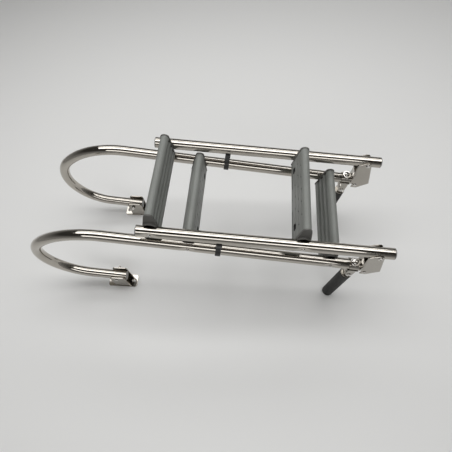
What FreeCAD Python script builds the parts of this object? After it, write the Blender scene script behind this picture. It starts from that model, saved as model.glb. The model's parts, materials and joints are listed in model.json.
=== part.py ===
import FreeCAD, Part
import math
import os

from FreeCAD import Vector

# Folding swim ladder with gunwale hooks, lying folded on its deck brackets and standoff feet.
# All sizes are in millimetres. Every piece is drawn in the ladder's own frame: X runs along the
# hook rails towards the hinge, Z points away from the hull side, and Y runs across the steps.
# The last step turns the whole ladder so that brackets and feet stand on one level floor.

# Rails
tube_radius = 12.7
tube_wall = 1.5
rail_spacing = 241.0

# Hook section: distances along the rail are measured from the fold pivot
hook_start = 596.0
hook_reach = 190.0
hook_drop = 255.0
shoulder_radius = 215.0
arm_overhang = 25.0
arm_pin_forward = 9.0
hook_rail_past_pivot = 12.0

# Fold section
pivot_height = 75.0
fold_length = 514.0
fold_stub = 29.0
clip_from_pivot = 337.0
clip_gap = 32.0

# Steps
step_spacing = 325.0
hook_step_from_pivot = 80.0
fold_step_from_pivot = 162.0
step_nose = 46.0
step_heel = 20.0
heel_thickness = 39.0
nose_thickness = 19.0
tread_groove_depth = 3.0
tread_groove_width = 11.0
tread_groove_pitch = 17.0
tread_groove_count = 3
tread_groove_from_nose = 8.0

# Underside of the steps: thin lines with drain holes, and an opening near each end
line_depth = 1.2
line_width = 2.2
line_pitch = 17.0
line_from_nose = 3.0
drain_counts = (5, 6, 3, 3)
drain_radius = 1.5
drain_depth = 5.0
drain_pitch = 32.0
window_length = 18.0
window_height = 11.0
window_depth = 6.0
window_from_middle = 76.0
window_from_nose = 43.0

# End caps of the steps
cap_thickness = 3.5
cap_rim = 1.0
cap_tube_gap = 0.3
cap_shoulder = 20.0
cap_slope_reach = 3.0
cap_lip_reach = 7.0
cap_arch_radius = 16.5
cap_arch_wall = 4.0
cap_hollow_depth = 5.0

# Screws through the rails into the steps
screw_head_radius = 4.2
screw_head_height = 2.2
screw_head_round = 1.3
screw_shank_radius = 2.5
screw_length = 30.0
pressing_length = 35.0
pressing_depth = 3.0

# Hinge channels
channel_wall = 2.0
channel_clearance = 0.4
channel_bend = 4.0
channel_base = 14.5
channel_top_left = 24.0
channel_web = 14.5
channel_web_height = 40.0
channel_low_left = 7.0
channel_low_right = 7.0
channel_right = 31.0
channel_right_height = 9.0
channel_eye = 8.5
channel_lip_gap = 1.0
saddle_length = 25.0
saddle_side = 3.0
pivot_radius = 4.0
pivot_head_radius = 5.0
pivot_head_height = 3.0
running_clearance = 0.05
lower_bolt_drop = 4.0
lower_bolt_radius = 3.0
lower_head_radius = 4.5
lower_head_height = 2.5
cap_bolt_from_pivot = 27.0
cap_bolt_washer_radius = 10.5
cap_bolt_washer_height = 1.6
cap_bolt_head_radius = 7.0
cap_bolt_head_height = 3.4
cap_bolt_head_round = 2.0
cap_bolt_radius = 4.0
cap_bolt_nut_radius = 6.5
cap_bolt_nut_height = 5.0

# Deck brackets
bracket_pin_height = 48.0
bracket_length = 85.0
bracket_width = 37.0
bracket_offset = 2.5
bracket_corner = 7.0
bracket_plate = 3.0
bracket_ear = 3.0
bracket_ear_left = 16.0
bracket_ear_right = 26.0
bracket_ear_top = 14.0
bracket_ear_corner = 6.0
bracket_gap = 0.8
bracket_pin_radius = 4.0
bracket_pin_head_radius = 4.8
bracket_pin_head_height = 3.0
bracket_nut_radius = 5.5
bracket_nut_height = 5.0
bracket_pin_end = 5.0
bracket_pin_end_radius = 3.0
bracket_hole_radius = 3.2
bracket_hole_spacing = 66.0
bracket_sink_radius = 5.6
bracket_sink_depth = 1.4

# Rail clips
clip_length = 12.0
clip_wall = 3.0
clip_fit = 0.3
clip_neck = 16.0
clip_saddle = 5.0

# Standoffs
standoff_from_pivot = 22.0
standoff_clamp_length = 26.0
standoff_clamp_wall = 3.0
standoff_clamp_fit = 0.2
standoff_clamp_side = 2.0
standoff_ear_half = 8.0
standoff_pivot_drop = 38.0
standoff_length = 165.2
standoff_lean = 2.0
tongue_half_width = 8.0
tongue_clearance = 0.5
tongue_radius = 8.0
leg_radius = 9.5
sleeve_radius = 14.2
sleeve_dome_radius = 26.0
sleeve_rim = 3.0
sleeve_top_drop = 16.0
collar_height = 3.0
collar_radius = 13.0
leg_bolt_radius = 4.0
leg_bolt_head_radius = 6.0
leg_bolt_head_height = 3.0

# Plugs
plug_flange = 2.0
plug_depth = 8.0
plug_fit = 0.1

half_spacing = rail_spacing / 2
tube_bore = tube_radius - tube_wall
sides = {"left": -1, "right": 1}

# Worked out from the values above
hook_steps = {"upper": hook_step_from_pivot + step_spacing, "lower": hook_step_from_pivot}
fold_steps = {"upper": fold_step_from_pivot, "lower": fold_step_from_pivot + step_spacing}
pivot = Vector(hook_start, 0, pivot_height)
clip_x = hook_start - clip_from_pivot
clip_seat_height = 2 * tube_radius + clip_gap
fold_droop = math.asin((pivot_height - clip_seat_height) / clip_from_pivot)
bend_sum = 2 * shoulder_radius - hook_drop - hook_reach
bend_rest = hook_reach ** 2 + hook_drop ** 2 - 2 * shoulder_radius * hook_drop
bend_radius = -bend_sum + math.sqrt(bend_sum ** 2 - bend_rest)
shoulder_angle = math.asin((hook_reach - bend_radius) / (shoulder_radius - bend_radius))
bend_centre = Vector(bend_radius - hook_reach, 0, bend_radius - hook_drop)
pin_point = Vector(-arm_pin_forward, 0, -hook_drop)
arm_end = -arm_pin_forward + arm_overhang
leg_pivot = Vector(hook_start - standoff_from_pivot, 0, -standoff_pivot_drop)
dome_drop = standoff_length - sleeve_dome_radius
leg_lean = math.radians(standoff_lean)
foot_point = leg_pivot.add(Vector(dome_drop * math.sin(leg_lean), 0, -dome_drop * math.cos(leg_lean)))
rest_run = foot_point.sub(pin_point)
rest_fall = (sleeve_dome_radius - bracket_pin_height) / rest_run.Length
rest_slope = math.atan2(rest_run.z, rest_run.x) - math.asin(rest_fall)


def turned(shape, centre, angle):
    """Turn a shape about a line along Y through the centre, X towards -Z for a positive angle."""
    copy = shape.copy()
    copy.rotate(centre, Vector(0, 1, 0), math.degrees(angle))
    return copy


def moved(shape, x=0.0, y=0.0, z=0.0):
    copy = shape.copy()
    copy.translate(Vector(x, y, z))
    return copy


def cylinder_y(x, z, radius, y_from, y_to):
    return Part.makeCylinder(radius, y_to - y_from, Vector(x, y_from, z), Vector(0, 1, 0))


def block(x_from, x_to, y_from, y_to, z_from, z_to):
    size = (x_to - x_from, y_to - y_from, z_to - z_from)
    return Part.makeBox(*size, Vector(x_from, y_from, z_from))


def sweep(edges, start, direction, radius):
    """A round rod along a path of tangent edges that starts at the given point."""
    ring = Part.Wire(Part.makeCircle(radius, start, direction))
    return Part.Wire(edges).makePipeShell([ring], True, False)


def plate_y(points, y_from, y_to):
    """A flat plate whose outline lies in the XZ plane, from one Y to the other."""
    corners = [Vector(x, y_from, z) for x, z in points]
    outline = Part.makePolygon(corners + corners[:1])
    return Part.Face(outline).extrude(Vector(0, y_to - y_from, 0))


def hook_path():
    """Rail axis from the hinge end, over the shoulder and the bend, to the end of the arm."""
    shoulder_centre = Vector(0, 0, -shoulder_radius)
    bend_turn = math.pi - shoulder_angle

    def on_shoulder(angle):
        return shoulder_centre.add(Vector(-math.sin(angle), 0, math.cos(angle)).multiply(shoulder_radius))

    def on_bend(angle):
        return bend_centre.add(Vector(-math.sin(angle), 0, math.cos(angle)).multiply(bend_radius))

    rail_end = Vector(hook_start + hook_rail_past_pivot, 0, 0)
    top = on_shoulder(0)
    join = on_shoulder(shoulder_angle)
    bottom = on_bend(math.pi)
    return [
        Part.makeLine(rail_end, top),
        Part.Arc(top, on_shoulder(shoulder_angle / 2), join).toShape(),
        Part.Arc(join, on_bend(shoulder_angle + bend_turn / 2), bottom).toShape(),
        Part.makeLine(bottom, Vector(arm_end, 0, -hook_drop)),
    ]


def pressing(x, z, side, grow):
    """The upright round tool that flattens the outer side of a rail where a screw goes in."""
    half = pressing_length / 2
    radius = (half ** 2 + pressing_depth ** 2) / (2 * pressing_depth)
    centre = side * (tube_radius - pressing_depth + radius)
    return Part.makeCylinder(radius + grow, 4 * tube_radius, Vector(x, centre, z - 2 * tube_radius))


def pressed_tube(outer, bore, places, z, side):
    """A tube with its pressings; the bore follows them, so the wall keeps its thickness."""
    for x in places:
        outer = outer.cut(pressing(x, z, side, 0.0))
        bore = bore.cut(pressing(x, z, side, tube_wall))
    tube = outer.cut(bore)
    for x in places:
        tube = tube.cut(cylinder_y(x, z, screw_shank_radius, -2 * tube_radius, 2 * tube_radius))
        tube = tube.cut(screw_seat(x, z, side))
    return tube


def screw_seat(x, z, side):
    """Flat seat for a screw head at the bottom of a pressing."""
    ends = sorted((side * (tube_radius - pressing_depth), side * 2 * tube_radius))
    return cylinder_y(x, z, screw_head_radius + running_clearance, *ends)


def hook_rail(side):
    start = Vector(hook_start + hook_rail_past_pivot, 0, 0)
    towards = Vector(-1, 0, 0)
    wide = 2 * tube_radius
    places = [hook_start - distance for distance in hook_steps.values()]
    outer = sweep(hook_path(), start, towards, tube_radius)
    bore = sweep(hook_path(), start, towards, tube_bore)
    rail = pressed_tube(outer, bore, places, 0, side)
    rail = rail.cut(cylinder_y(pivot.x, -lower_bolt_drop, lower_bolt_radius, -wide, wide))
    cap_bolt_foot = Vector(hook_start - cap_bolt_from_pivot, 0, -wide)
    rail = rail.cut(Part.makeCylinder(cap_bolt_radius, 2 * wide, cap_bolt_foot))
    pin_hole = bracket_pin_radius + running_clearance
    return rail.cut(cylinder_y(pin_point.x, pin_point.z, pin_hole, -wide, wide))


def fold_rail(side):
    """The straight rail of the fold section, level, before it droops onto its clip."""
    left = Vector(hook_start - fold_length, 0, pivot_height)
    length = fold_length + fold_stub
    along = Vector(1, 0, 0)
    places = [hook_start - distance for distance in fold_steps.values()]
    outer = Part.makeCylinder(tube_radius, length, left, along)
    bore = Part.makeCylinder(tube_bore, length, left, along)
    rail = pressed_tube(outer, bore, places, pivot_height, side)
    hole = pivot_radius + running_clearance
    return rail.cut(cylinder_y(pivot.x, pivot.z, hole, -2 * tube_radius, 2 * tube_radius))


def step_face(grow):
    """Where the tread leaves the round nose, where it ends at the heel, and how far it leans."""
    radius = nose_thickness / 2 + grow
    nose_z = step_nose - nose_thickness / 2
    heel = Vector(heel_thickness / 2 + grow, 0, -step_heel - grow)
    rise = nose_z - heel.z
    lean = math.atan2(heel.x, rise) - math.asin(radius / math.hypot(heel.x, rise))
    touch = Vector(radius * math.cos(lean), 0, nose_z + radius * math.sin(lean))
    return touch, heel, lean


def step_outline(grow):
    """Profile of a step: two faces that lean towards each other and meet in a round nose on +Z."""
    touch, heel, lean = step_face(grow)
    across = Vector(-touch.x, 0, touch.z)
    heel_across = Vector(-heel.x, 0, heel.z)
    return Part.Wire([
        Part.makeLine(heel, touch),
        Part.Arc(touch, Vector(0, 0, step_nose + grow), across).toShape(),
        Part.makeLine(across, heel_across),
        Part.makeLine(heel_across, heel),
    ])


def on_tread(tool, along):
    """Carry a tool drawn about the origin, X outwards, to a distance down the tread from the nose."""
    touch, heel, lean = step_face(0.0)
    down = heel.sub(touch).normalize()
    place = touch.add(down.multiply(along))
    return moved(turned(tool, Vector(0, 0, 0), -lean), place.x, 0, place.z)


def drain_row(row, count):
    """Thin line along the underside with its row of small drain holes."""
    half = half_spacing - tube_radius - cap_tube_gap - cap_thickness
    tool = block(-line_depth, line_depth, -half, half, -line_width / 2, line_width / 2)
    for index in range(count):
        y = drain_pitch * (index - (count - 1) / 2)
        hole = Part.makeCylinder(drain_radius, 2 * drain_depth, Vector(-drain_depth, y, 0), Vector(1, 0, 0))
        tool = tool.fuse(hole)
    return flip(on_tread(tool, line_from_nose + row * line_pitch))


def step_window(side):
    """Long opening with round ends in the underside, beside the screw that holds the step."""
    run = (window_length - window_height) / 2
    middle = side * window_from_middle
    half = window_height / 2
    tool = block(-window_depth, window_depth, middle - run, middle + run, -half, half)
    for y in (middle - run, middle + run):
        end = Part.makeCylinder(half, 2 * window_depth, Vector(-window_depth, y, 0), Vector(1, 0, 0))
        tool = tool.fuse(end)
    return flip(on_tread(tool, window_from_nose))


def step_body():
    """Moulded step between its two end caps: ribbed tread on +X, drained underside on -X."""
    half = half_spacing - tube_radius - cap_tube_gap - cap_thickness
    body = Part.Face(step_outline(0.0)).extrude(Vector(0, 2 * half, 0))
    body.translate(Vector(0, -half, 0))
    for index in range(tread_groove_count):
        along = tread_groove_from_nose + index * tread_groove_pitch
        groove = block(-tread_groove_depth, tread_groove_depth, -half, half,
                       -tread_groove_width / 2, tread_groove_width / 2)
        body = body.cut(on_tread(groove, along))
    for row, count in enumerate(drain_counts):
        body = body.cut(drain_row(row, count))
    for side in sides.values():
        screw_ends = sorted((side * half, side * (half - screw_length)))
        body = body.cut(step_window(side))
        body = body.cut(cylinder_y(0, 0, screw_shank_radius, *screw_ends))
    return body


def step_cap(side):
    """Darker cap on one end of a step, with an arched lip that bridges the top of the rail."""
    rail_side = half_spacing - tube_radius - cap_tube_gap
    inner = rail_side - cap_thickness
    lip_end = rail_side + cap_lip_reach
    cap = Part.Face(step_outline(cap_rim)).extrude(Vector(0, half_spacing - inner, 0))
    cap.translate(Vector(0, inner, 0))
    wide = 2 * heel_thickness
    top = step_nose + 2 * cap_rim
    slope_foot = rail_side + cap_slope_reach
    profile = [(inner, -2 * step_heel), (rail_side, -2 * step_heel), (rail_side, 0), (slope_foot, 0),
               (slope_foot, cap_shoulder), (rail_side, top), (inner, top)]
    corners = [Vector(-wide / 2, y, z) for y, z in profile]
    slope = Part.Face(Part.makePolygon(corners + corners[:1]))
    cap = cap.common(slope.extrude(Vector(wide, 0, 0)))
    arch_z = cap_shoulder - cap_arch_radius
    arch = cylinder_y(0, arch_z, cap_arch_radius, rail_side, lip_end)
    arch = arch.cut(block(-wide, wide, inner, half_spacing, -wide, 0))
    hollow = cylinder_y(0, arch_z, cap_arch_radius - cap_arch_wall, lip_end - cap_hollow_depth, half_spacing)
    cap = cap.fuse(arch).cut(hollow.cut(block(-wide, wide, inner, half_spacing, -wide, 0)))
    cap = cap.cut(Part.makeCylinder(tube_radius + cap_tube_gap, 2 * wide,
                                    Vector(-wide, half_spacing, 0), Vector(1, 0, 0)))
    cap = cap.cut(cylinder_y(0, 0, screw_shank_radius, inner - 1, half_spacing)).removeSplitter()
    if side < 0:
        cap = cap.mirror(Vector(0, 0, 0), Vector(0, 1, 0))
    return cap


def step_screw(side):
    """Round-headed screw at the bottom of its pressing, through the rail into the step."""
    seat = half_spacing + tube_radius - pressing_depth
    tip = half_spacing - tube_radius - cap_tube_gap - cap_thickness - screw_length
    head = Part.makeCylinder(screw_head_radius, screw_head_height, Vector(0, seat, 0), Vector(0, 1, 0))
    head = head.makeFillet(screw_head_round, [head.Edges[0]])
    screw = head.fuse(cylinder_y(0, 0, screw_shank_radius - running_clearance, tip, seat))
    if side < 0:
        screw = screw.mirror(Vector(0, 0, 0), Vector(0, 1, 0))
    return screw


def hinge_channel():
    """Formed bracket: a saddle on the hook rail, a web up from it, and two cheeks to the pivot."""
    inner = tube_radius + channel_clearance
    outer = inner + channel_wall
    far = 4 * outer
    web_foot = Vector(pivot.x - channel_web, 0, outer)
    top_left = Vector(pivot.x - channel_top_left, 0, pivot.z - channel_bend)
    low_left = Vector(pivot.x - channel_low_left, 0, -channel_base)
    low_right = Vector(pivot.x + channel_low_right, 0, -channel_base)
    right = Vector(pivot.x + channel_right, 0, channel_right_height)
    outline = [web_foot, top_left, Vector(pivot.x - channel_eye / 2, 0, pivot.z + channel_eye),
               Vector(pivot.x, 0, pivot.z + channel_eye), Vector(pivot.x + channel_eye, 0, pivot.z),
               right, low_right, low_left,
               Vector(low_left.x, 0, -saddle_side), Vector(web_foot.x, 0, saddle_side)]
    body = plate_y([(p.x, p.z) for p in outline], -outer, outer)
    body = body.fuse(cylinder_y(pivot.x, pivot.z, channel_eye, -outer, outer)).removeSplitter()
    bends = [edge for edge in body.Edges if on_web_bend(edge, web_foot, top_left)]
    body = body.makeFillet(channel_bend, bends)

    # Room for the rails between the cheeks, open towards +Z, and on -Z below the hook rail
    lean = (top_left.x - web_foot.x) / (top_left.z - web_foot.z)
    web_top = Vector(web_foot.x + lean * (channel_web_height - outer), 0, channel_web_height)
    base_slope = (right.z + channel_base) / (right.x - low_right.x)
    lip_left = hook_start + hook_rail_past_pivot + channel_lip_gap
    lip_rise = channel_wall * math.hypot(1, base_slope)
    lip_z = -channel_base + base_slope * (lip_left - low_right.x) + lip_rise
    lip_far_z = lip_z + base_slope * (pivot.x + far - lip_left)
    room = [(web_foot.x + channel_wall, -far), (web_foot.x + channel_wall, outer),
            (web_top.x + channel_wall, web_top.z), (web_top.x - far, web_top.z),
            (web_top.x - far, pivot.z + far), (pivot.x + far, pivot.z + far),
            (pivot.x + far, lip_far_z), (lip_left, lip_z), (lip_left, -far)]
    body = body.cut(plate_y(room, -inner, inner))

    along = Vector(1, 0, 0)
    saddle_start = Vector(web_foot.x + channel_wall - saddle_length, 0, 0)
    saddle = Part.makeCylinder(outer, saddle_length, saddle_start, along)
    saddle = saddle.cut(block(saddle_start.x - far, pivot.x, -far, far, -far, saddle_side))
    channel = body.fuse(saddle)
    channel = channel.cut(Part.makeCylinder(tube_radius + running_clearance, far, saddle_start, along))
    channel = channel.cut(block(web_foot.x - far, low_left.x, -far, far, -far, saddle_side)).removeSplitter()
    channel = channel.cut(cylinder_y(pivot.x, pivot.z, pivot_radius, -outer, outer))
    channel = channel.cut(cylinder_y(pivot.x, -lower_bolt_drop, lower_bolt_radius, -outer, outer))
    cap_bolt_x = hook_start - cap_bolt_from_pivot
    return channel.cut(Part.makeCylinder(cap_bolt_radius, 2 * outer, Vector(cap_bolt_x, 0, 0)))


def on_web_bend(edge, foot, top):
    """Whether an edge is one of the two long ones where the web turns into a cheek."""
    ends = sorted((vertex.Point for vertex in edge.Vertexes), key=lambda point: point.z)
    if len(ends) < 2:
        return False
    at_foot = math.hypot(ends[0].x - foot.x, ends[0].z - foot.z) < channel_wall / 2
    at_top = math.hypot(ends[1].x - top.x, ends[1].z - top.z) < channel_wall / 2
    return at_foot and at_top


def cross_bolt(x, z, radius, head_radius, head_height, half_length):
    """A bolt across the rail with a low round head on each side."""
    head = Part.makeCylinder(head_radius, head_height, Vector(x, half_length, z), Vector(0, 1, 0))
    head = head.makeFillet(head_height / 3, [head.Edges[0]])
    other = head.mirror(Vector(0, 0, 0), Vector(0, 1, 0))
    return cylinder_y(x, z, radius, -half_length, half_length).fuse(head).fuse(other)


def cap_bolt():
    """Upright bolt through saddle, rail and standoff clamp, with a large round head on top."""
    x = hook_start - cap_bolt_from_pivot
    top = tube_radius + channel_clearance + channel_wall
    bottom = -tube_radius - standoff_clamp_fit - standoff_clamp_wall
    flange = Part.makeCylinder(cap_bolt_washer_radius, cap_bolt_washer_height, Vector(x, 0, top))
    dome_foot = top + cap_bolt_washer_height
    dome = Part.makeCylinder(cap_bolt_head_radius, cap_bolt_head_height, Vector(x, 0, dome_foot))
    dome = dome.makeFillet(cap_bolt_head_round, [dome.Edges[0]])
    shank = Part.makeCylinder(cap_bolt_radius - running_clearance, top - bottom, Vector(x, 0, bottom))
    nut_foot = Vector(x, 0, bottom - cap_bolt_nut_height)
    nut = Part.makeCylinder(cap_bolt_nut_radius, cap_bolt_nut_height, nut_foot)
    return flange.fuse(dome).fuse(shank).fuse(nut)


def bracket_pin(side):
    """Bolt through the bracket's ears and the arm: round head outside, nut and bolt end inside."""
    half = tube_radius + bracket_gap + bracket_ear
    nut_end = half + bracket_nut_height
    head = Part.makeCylinder(bracket_pin_head_radius, bracket_pin_head_height,
                             Vector(pin_point.x, half, pin_point.z), Vector(0, 1, 0))
    head = head.makeFillet(bracket_pin_head_height / 2, [head.Edges[0]])
    pin = head.fuse(cylinder_y(pin_point.x, pin_point.z, bracket_pin_radius, -half, half))
    pin = pin.fuse(cylinder_y(pin_point.x, pin_point.z, bracket_nut_radius, -nut_end, -half))
    pin = pin.fuse(cylinder_y(pin_point.x, pin_point.z, bracket_pin_end_radius,
                              -nut_end - bracket_pin_end, -nut_end))
    if side < 0:
        pin = pin.mirror(Vector(0, 0, 0), Vector(0, 1, 0))
    return pin


def deck_bracket():
    """Base plate with two countersunk holes, and two upright ears for the arm's pin at the origin."""
    bottom = -bracket_pin_height
    top = bottom + bracket_plate
    left = bracket_offset - bracket_length / 2
    right = bracket_offset + bracket_length / 2
    inner = tube_radius + bracket_gap
    outer = inner + bracket_ear
    plate = block(left, right, -bracket_width / 2, bracket_width / 2, bottom, top)
    upright = [edge for edge in plate.Edges if edge.BoundBox.ZLength > bracket_plate / 2]
    plate = plate.makeFillet(bracket_corner, upright)
    ears = block(-bracket_ear_left, bracket_ear_right, -outer, outer, bottom, bracket_ear_top)
    boxes = [(edge, edge.BoundBox) for edge in ears.Edges]
    crest = [edge for edge, box in boxes if box.YLength > outer and box.ZMin > 0]
    ears = ears.makeFillet(bracket_ear_corner, crest)
    ears = ears.cut(block(left, right, -inner, inner, top, 2 * bracket_ear_top))
    bracket = plate.fuse(ears).removeSplitter()
    for x in (bracket_offset - bracket_hole_spacing / 2, bracket_offset + bracket_hole_spacing / 2):
        bracket = bracket.cut(Part.makeCylinder(bracket_hole_radius, bracket_plate, Vector(x, 0, bottom)))
        bracket = bracket.cut(Part.makeCone(bracket_hole_radius, bracket_sink_radius, bracket_sink_depth,
                                            Vector(x, 0, top - bracket_sink_depth)))
    return bracket.cut(cylinder_y(0, 0, bracket_pin_radius + running_clearance, -outer, outer))


def rail_clip():
    """Black clip around the hook rail; its open saddle carries the folded rail."""
    x_from = clip_x - clip_length / 2
    x_to = clip_x + clip_length / 2
    along = Vector(1, 0, 0)
    grip = tube_radius + clip_fit
    clip = Part.makeCylinder(grip + clip_wall, clip_length, Vector(x_from, 0, 0), along)
    clip = clip.fuse(block(x_from, x_to, -clip_neck / 2, clip_neck / 2, 0, clip_seat_height))
    low = clip_seat_height - grip - clip_wall
    high = low + clip_saddle + clip_wall
    clip = clip.fuse(block(x_from, x_to, -grip - clip_wall, grip + clip_wall, low, high))
    clip = clip.cut(Part.makeCylinder(tube_radius + running_clearance, 3 * clip_length,
                                      Vector(x_from - clip_length, 0, 0), along))
    seat = Part.makeCylinder(grip, 3 * clip_length,
                             Vector(x_from - clip_length, 0, clip_seat_height), along)
    return clip.cut(turned(seat, Vector(clip_x, 0, clip_seat_height), -fold_droop))


def standoff_clamp():
    """Half clamp under the hook rail with two ears for the leg's bolt."""
    middle = hook_start - cap_bolt_from_pivot
    x_from = middle - standoff_clamp_length / 2
    x_to = middle + standoff_clamp_length / 2
    inner = tongue_half_width + tongue_clearance
    outer = inner + standoff_clamp_wall
    grip = tube_radius + standoff_clamp_fit
    ear_left = leg_pivot.x - standoff_ear_half
    ear_right = leg_pivot.x + standoff_ear_half
    along = Vector(1, 0, 0)
    start = Vector(x_from, 0, 0)
    clamp = Part.makeCylinder(grip + standoff_clamp_wall, standoff_clamp_length, start, along)
    clamp = clamp.cut(block(x_from, x_to, -2 * grip, 2 * grip, -standoff_clamp_side, 2 * grip))
    ears = block(ear_left, ear_right, -outer, outer, leg_pivot.z, -tube_radius / 2)
    ears = ears.fuse(cylinder_y(leg_pivot.x, leg_pivot.z, standoff_ear_half, -outer, outer))
    slot = block(ear_left - tube_radius, ear_right + tube_radius, -inner, inner,
                 leg_pivot.z - 2 * standoff_ear_half, -grip - standoff_clamp_wall)
    clamp = clamp.fuse(ears.cut(slot))
    clamp = clamp.cut(Part.makeCylinder(grip, 2 * standoff_clamp_length, start, along))
    bolt_foot = Vector(middle, 0, -2 * tube_radius)
    clamp = clamp.cut(Part.makeCylinder(cap_bolt_radius, 2 * tube_radius, bolt_foot))
    return clamp.cut(cylinder_y(leg_pivot.x, leg_pivot.z, leg_bolt_radius, -outer, outer))


def standoff_leg():
    """Leg core: a tongue between the clamp's ears, a collar, and a stem inside the rubber sleeve."""
    x = leg_pivot.x
    sleeve_top = leg_pivot.z - sleeve_top_drop
    tongue = block(x - tongue_radius, x + tongue_radius, -tongue_half_width, tongue_half_width,
                   sleeve_top, leg_pivot.z)
    tongue = tongue.fuse(cylinder_y(x, leg_pivot.z, tongue_radius, -tongue_half_width, tongue_half_width))
    stem_foot = leg_pivot.z - dome_drop
    stem = Part.makeCylinder(leg_radius, sleeve_top - stem_foot, Vector(x, 0, stem_foot))
    collar = Part.makeCylinder(collar_radius, collar_height, Vector(x, 0, sleeve_top))
    leg = tongue.fuse(collar).fuse(stem)
    hole = leg_bolt_radius + running_clearance
    leg = leg.cut(cylinder_y(x, leg_pivot.z, hole, -2 * leg_radius, 2 * leg_radius))
    return turned(leg, leg_pivot, -leg_lean)


def standoff_foot():
    """Thick rubber sleeve over the leg with a shallow domed end that stands on the floor."""
    stem_foot = leg_pivot.z - dome_drop
    sleeve_top = leg_pivot.z - sleeve_top_drop
    low = leg_pivot.z - standoff_length
    sleeve = Part.makeCylinder(sleeve_radius, sleeve_top - low, Vector(leg_pivot.x, 0, low))
    stem_centre = Vector(leg_pivot.x, 0, stem_foot)
    dome = Part.makeSphere(sleeve_dome_radius, stem_centre)
    dome = dome.fuse(Part.makeCylinder(sleeve_dome_radius, sleeve_top - stem_foot, stem_centre))
    sleeve = sleeve.common(dome).removeSplitter()
    boxes = [(edge, edge.BoundBox) for edge in sleeve.Edges]
    rings = [(edge, box) for edge, box in boxes if box.ZLength < sleeve_rim / 3 < box.XLength]
    sleeve = sleeve.makeFillet(sleeve_rim, [edge for edge, box in rings if box.ZMax < stem_foot])
    sleeve = sleeve.cut(Part.makeCylinder(leg_radius, sleeve_top - stem_foot, stem_centre))
    return turned(sleeve, leg_pivot, -leg_lean)


def rail_plug(x, z, outward):
    """Plastic plug in an open end of a tube whose axis lies at this height."""
    flange = Part.makeCylinder(tube_radius, plug_flange, Vector(x, 0, z), Vector(outward, 0, 0))
    stem = Part.makeCylinder(tube_bore - plug_fit, plug_depth, Vector(x, 0, z), Vector(-outward, 0, 0))
    return flange.fuse(stem)


def flip(shape):
    """The same step the other way round: tread on -X instead of +X."""
    return shape.mirror(Vector(0, 0, 0), Vector(1, 0, 0))


def droop(shape):
    """Let the level fold section down onto its clips."""
    return turned(shape, pivot, -fold_droop)


parts = {}
channel_half = tube_radius + channel_clearance + channel_wall
clamp_half = tongue_half_width + tongue_clearance + standoff_clamp_wall
for side_name, side in sides.items():
    y = side * half_spacing
    parts["hook_rail_" + side_name] = moved(hook_rail(side), y=y)
    parts["fold_rail_" + side_name] = moved(droop(fold_rail(side)), y=y)
    parts["hinge_channel_" + side_name] = moved(hinge_channel(), y=y)
    parts["channel_cap_bolt_" + side_name] = moved(cap_bolt(), y=y)
    fold_bolt = cross_bolt(pivot.x, pivot.z, pivot_radius,
                           pivot_head_radius, pivot_head_height, channel_half)
    parts["fold_pivot_bolt_" + side_name] = moved(fold_bolt, y=y)
    lower_bolt = cross_bolt(pivot.x, -lower_bolt_drop, lower_bolt_radius,
                            lower_head_radius, lower_head_height, channel_half)
    parts["channel_bolt_" + side_name] = moved(lower_bolt, y=y)
    level_bracket = turned(deck_bracket(), Vector(0, 0, 0), -rest_slope)
    parts["deck_bracket_" + side_name] = moved(level_bracket, pin_point.x, y, pin_point.z)
    parts["bracket_pin_" + side_name] = moved(bracket_pin(side), y=y)
    parts["arm_plug_" + side_name] = moved(rail_plug(arm_end, pin_point.z, 1), y=y)
    parts["rail_clip_" + side_name] = moved(rail_clip(), y=y)
    parts["standoff_clamp_" + side_name] = moved(standoff_clamp(), y=y)
    parts["standoff_leg_" + side_name] = moved(standoff_leg(), y=y)
    leg_bolt = cross_bolt(leg_pivot.x, leg_pivot.z, leg_bolt_radius,
                          leg_bolt_head_radius, leg_bolt_head_height, clamp_half)
    parts["standoff_bolt_" + side_name] = moved(leg_bolt, y=y)
    parts["standoff_foot_" + side_name] = moved(standoff_foot(), y=y)
    far_plug = rail_plug(hook_start + fold_stub, pivot_height, 1)
    near_plug = rail_plug(hook_start - fold_length, pivot_height, -1)
    parts["fold_rail_plugs_" + side_name] = moved(droop(Part.makeCompound([near_plug, far_plug])), y=y)

for name, distance in hook_steps.items():
    x = hook_start - distance
    parts["hook_step_" + name] = moved(flip(step_body()), x)
    for side_name, side in sides.items():
        parts["hook_step_" + name + "_cap_" + side_name] = moved(flip(step_cap(side)), x)
for name, distance in fold_steps.items():
    x = hook_start - distance
    parts["fold_step_" + name] = droop(moved(step_body(), x, 0, pivot_height))
    for side_name, side in sides.items():
        cap = moved(step_cap(side), x, 0, pivot_height)
        parts["fold_step_" + name + "_cap_" + side_name] = droop(cap)
hook_screws = [moved(step_screw(side), hook_start - d)
               for d in hook_steps.values() for side in sides.values()]
fold_screws = [droop(moved(step_screw(side), hook_start - d, 0, pivot_height))
               for d in fold_steps.values() for side in sides.values()]
parts["hook_step_screws"] = Part.makeCompound(hook_screws)
parts["fold_step_screws"] = Part.makeCompound(fold_screws)

# Stand the ladder on the floor with the origin below the middle of its box
origin = Vector(0, 0, 0)
placed = {name: turned(shape, origin, rest_slope) for name, shape in parts.items()}
whole = Part.makeCompound(list(placed.values())).optimalBoundingBox(False)
shift = Vector(-(whole.XMin + whole.XMax) / 2, -(whole.YMin + whole.YMax) / 2, -whole.ZMin)

os.makedirs("parts", exist_ok=True)
for name, shape in placed.items():
    shape.translate(shift)
    shape.exportStep("parts/" + name + ".step")


def floor_point(point, y=0.0):
    """Where a point of the ladder's own frame lies in the finished part, in metres."""
    turn = FreeCAD.Rotation(Vector(0, 1, 0), math.degrees(rest_slope))
    world = turn.multVec(Vector(point.x, y, point.z)).add(shift)
    return [round(world.x / 1000, 5), round(world.y / 1000, 5), round(world.z / 1000, 5)]


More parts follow.
